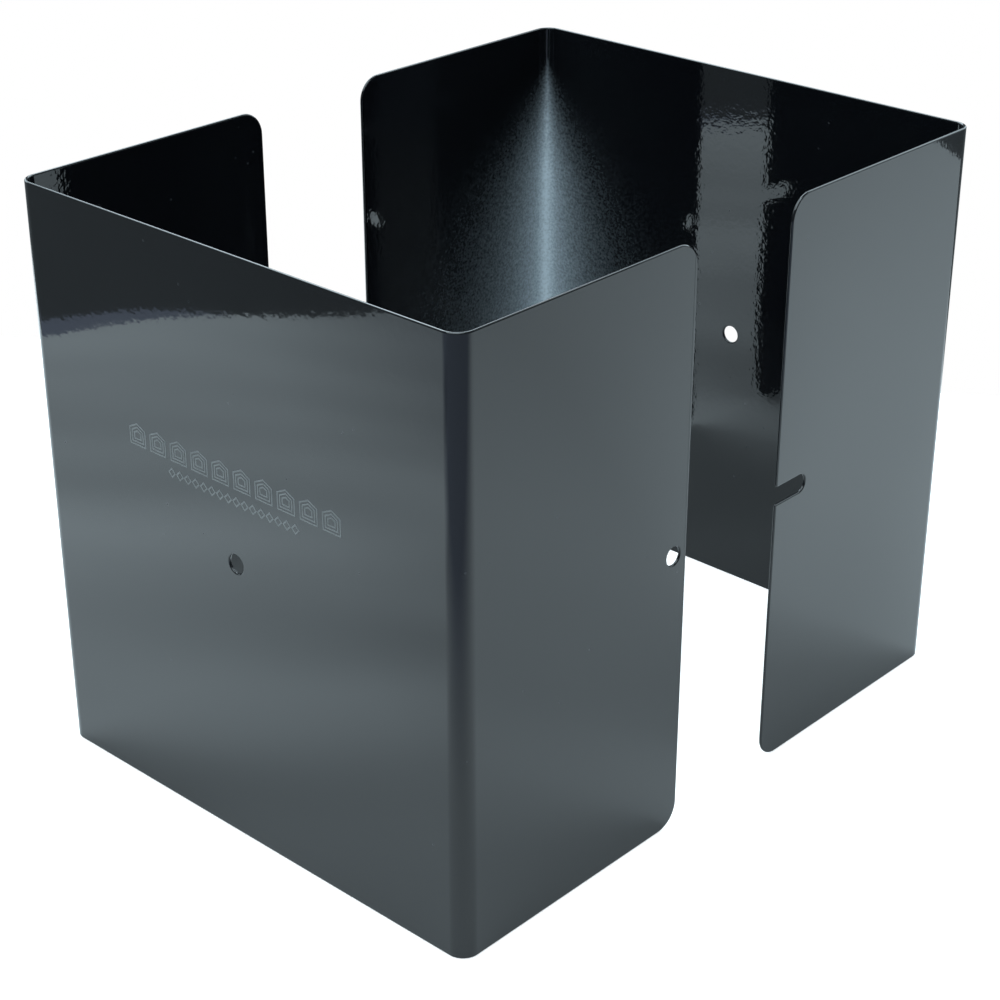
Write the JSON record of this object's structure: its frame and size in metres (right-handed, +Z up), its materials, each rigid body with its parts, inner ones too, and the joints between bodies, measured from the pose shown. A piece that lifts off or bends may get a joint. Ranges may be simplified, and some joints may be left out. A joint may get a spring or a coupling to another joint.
{
  "type": "fence post guard",
  "caption": "Two U-shaped folded steel halves that lap round the foot of a square fence post as an open sleeve and are fixed with screws.",
  "frame": {"origin": "on the ground, midway between the two halves", "axes": "+Z up, +Y from the front half to the rear half along the way they are pushed together, +X to the right of the front panel seen from outside"},
  "size_m": [0.1436, 0.1878, 0.1524],
  "materials": {
    "powder_coat": "gloss black powder coat with a slight orange peel"
  },
  "bodies": {
    "front_half": {"front_half": "powder_coat"},
    "rear_half": {"rear_half": "powder_coat"}
  },
  "joints": [
    {"name": "rear_half_slide", "type": "slide", "parent": "front_half", "child": "rear_half", "axis": [0, 1, 0], "range_m": [-0.0462, 0.03]}
  ]
}
